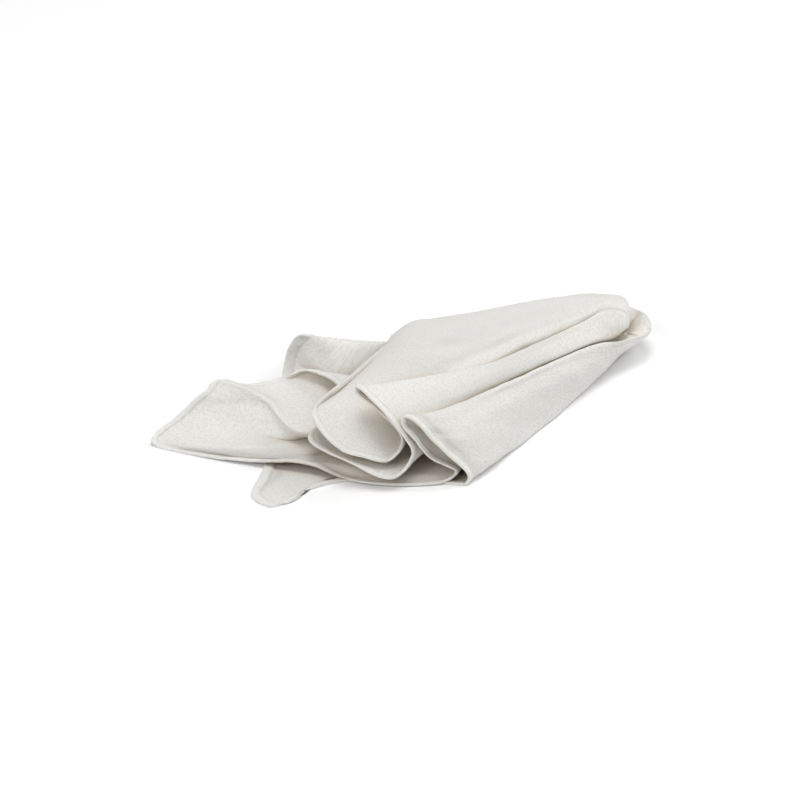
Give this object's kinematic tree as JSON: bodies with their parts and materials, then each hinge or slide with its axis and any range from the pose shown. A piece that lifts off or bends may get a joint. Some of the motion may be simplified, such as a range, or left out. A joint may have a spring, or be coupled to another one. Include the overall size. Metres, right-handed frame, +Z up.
{
  "type": "straining cloth",
  "caption": "Square of hemmed unbleached cotton, gathered near its middle and laid down with its corners and hems splayed in folds.",
  "frame": {"origin": "centre of the footprint, on the surface that the cloth lies on", "axes": "+X from the splayed hems to the gathered middle, +Y to the back, +Z up"},
  "size_m": [0.4824, 0.3526, 0.1045],
  "materials": {
    "unbleached_cotton": "plain woven unbleached cotton, matt, off-white with fine seed flecks"
  },
  "bodies": {
    "root": {"cloth": "unbleached_cotton"}
  },
  "joints": []
}
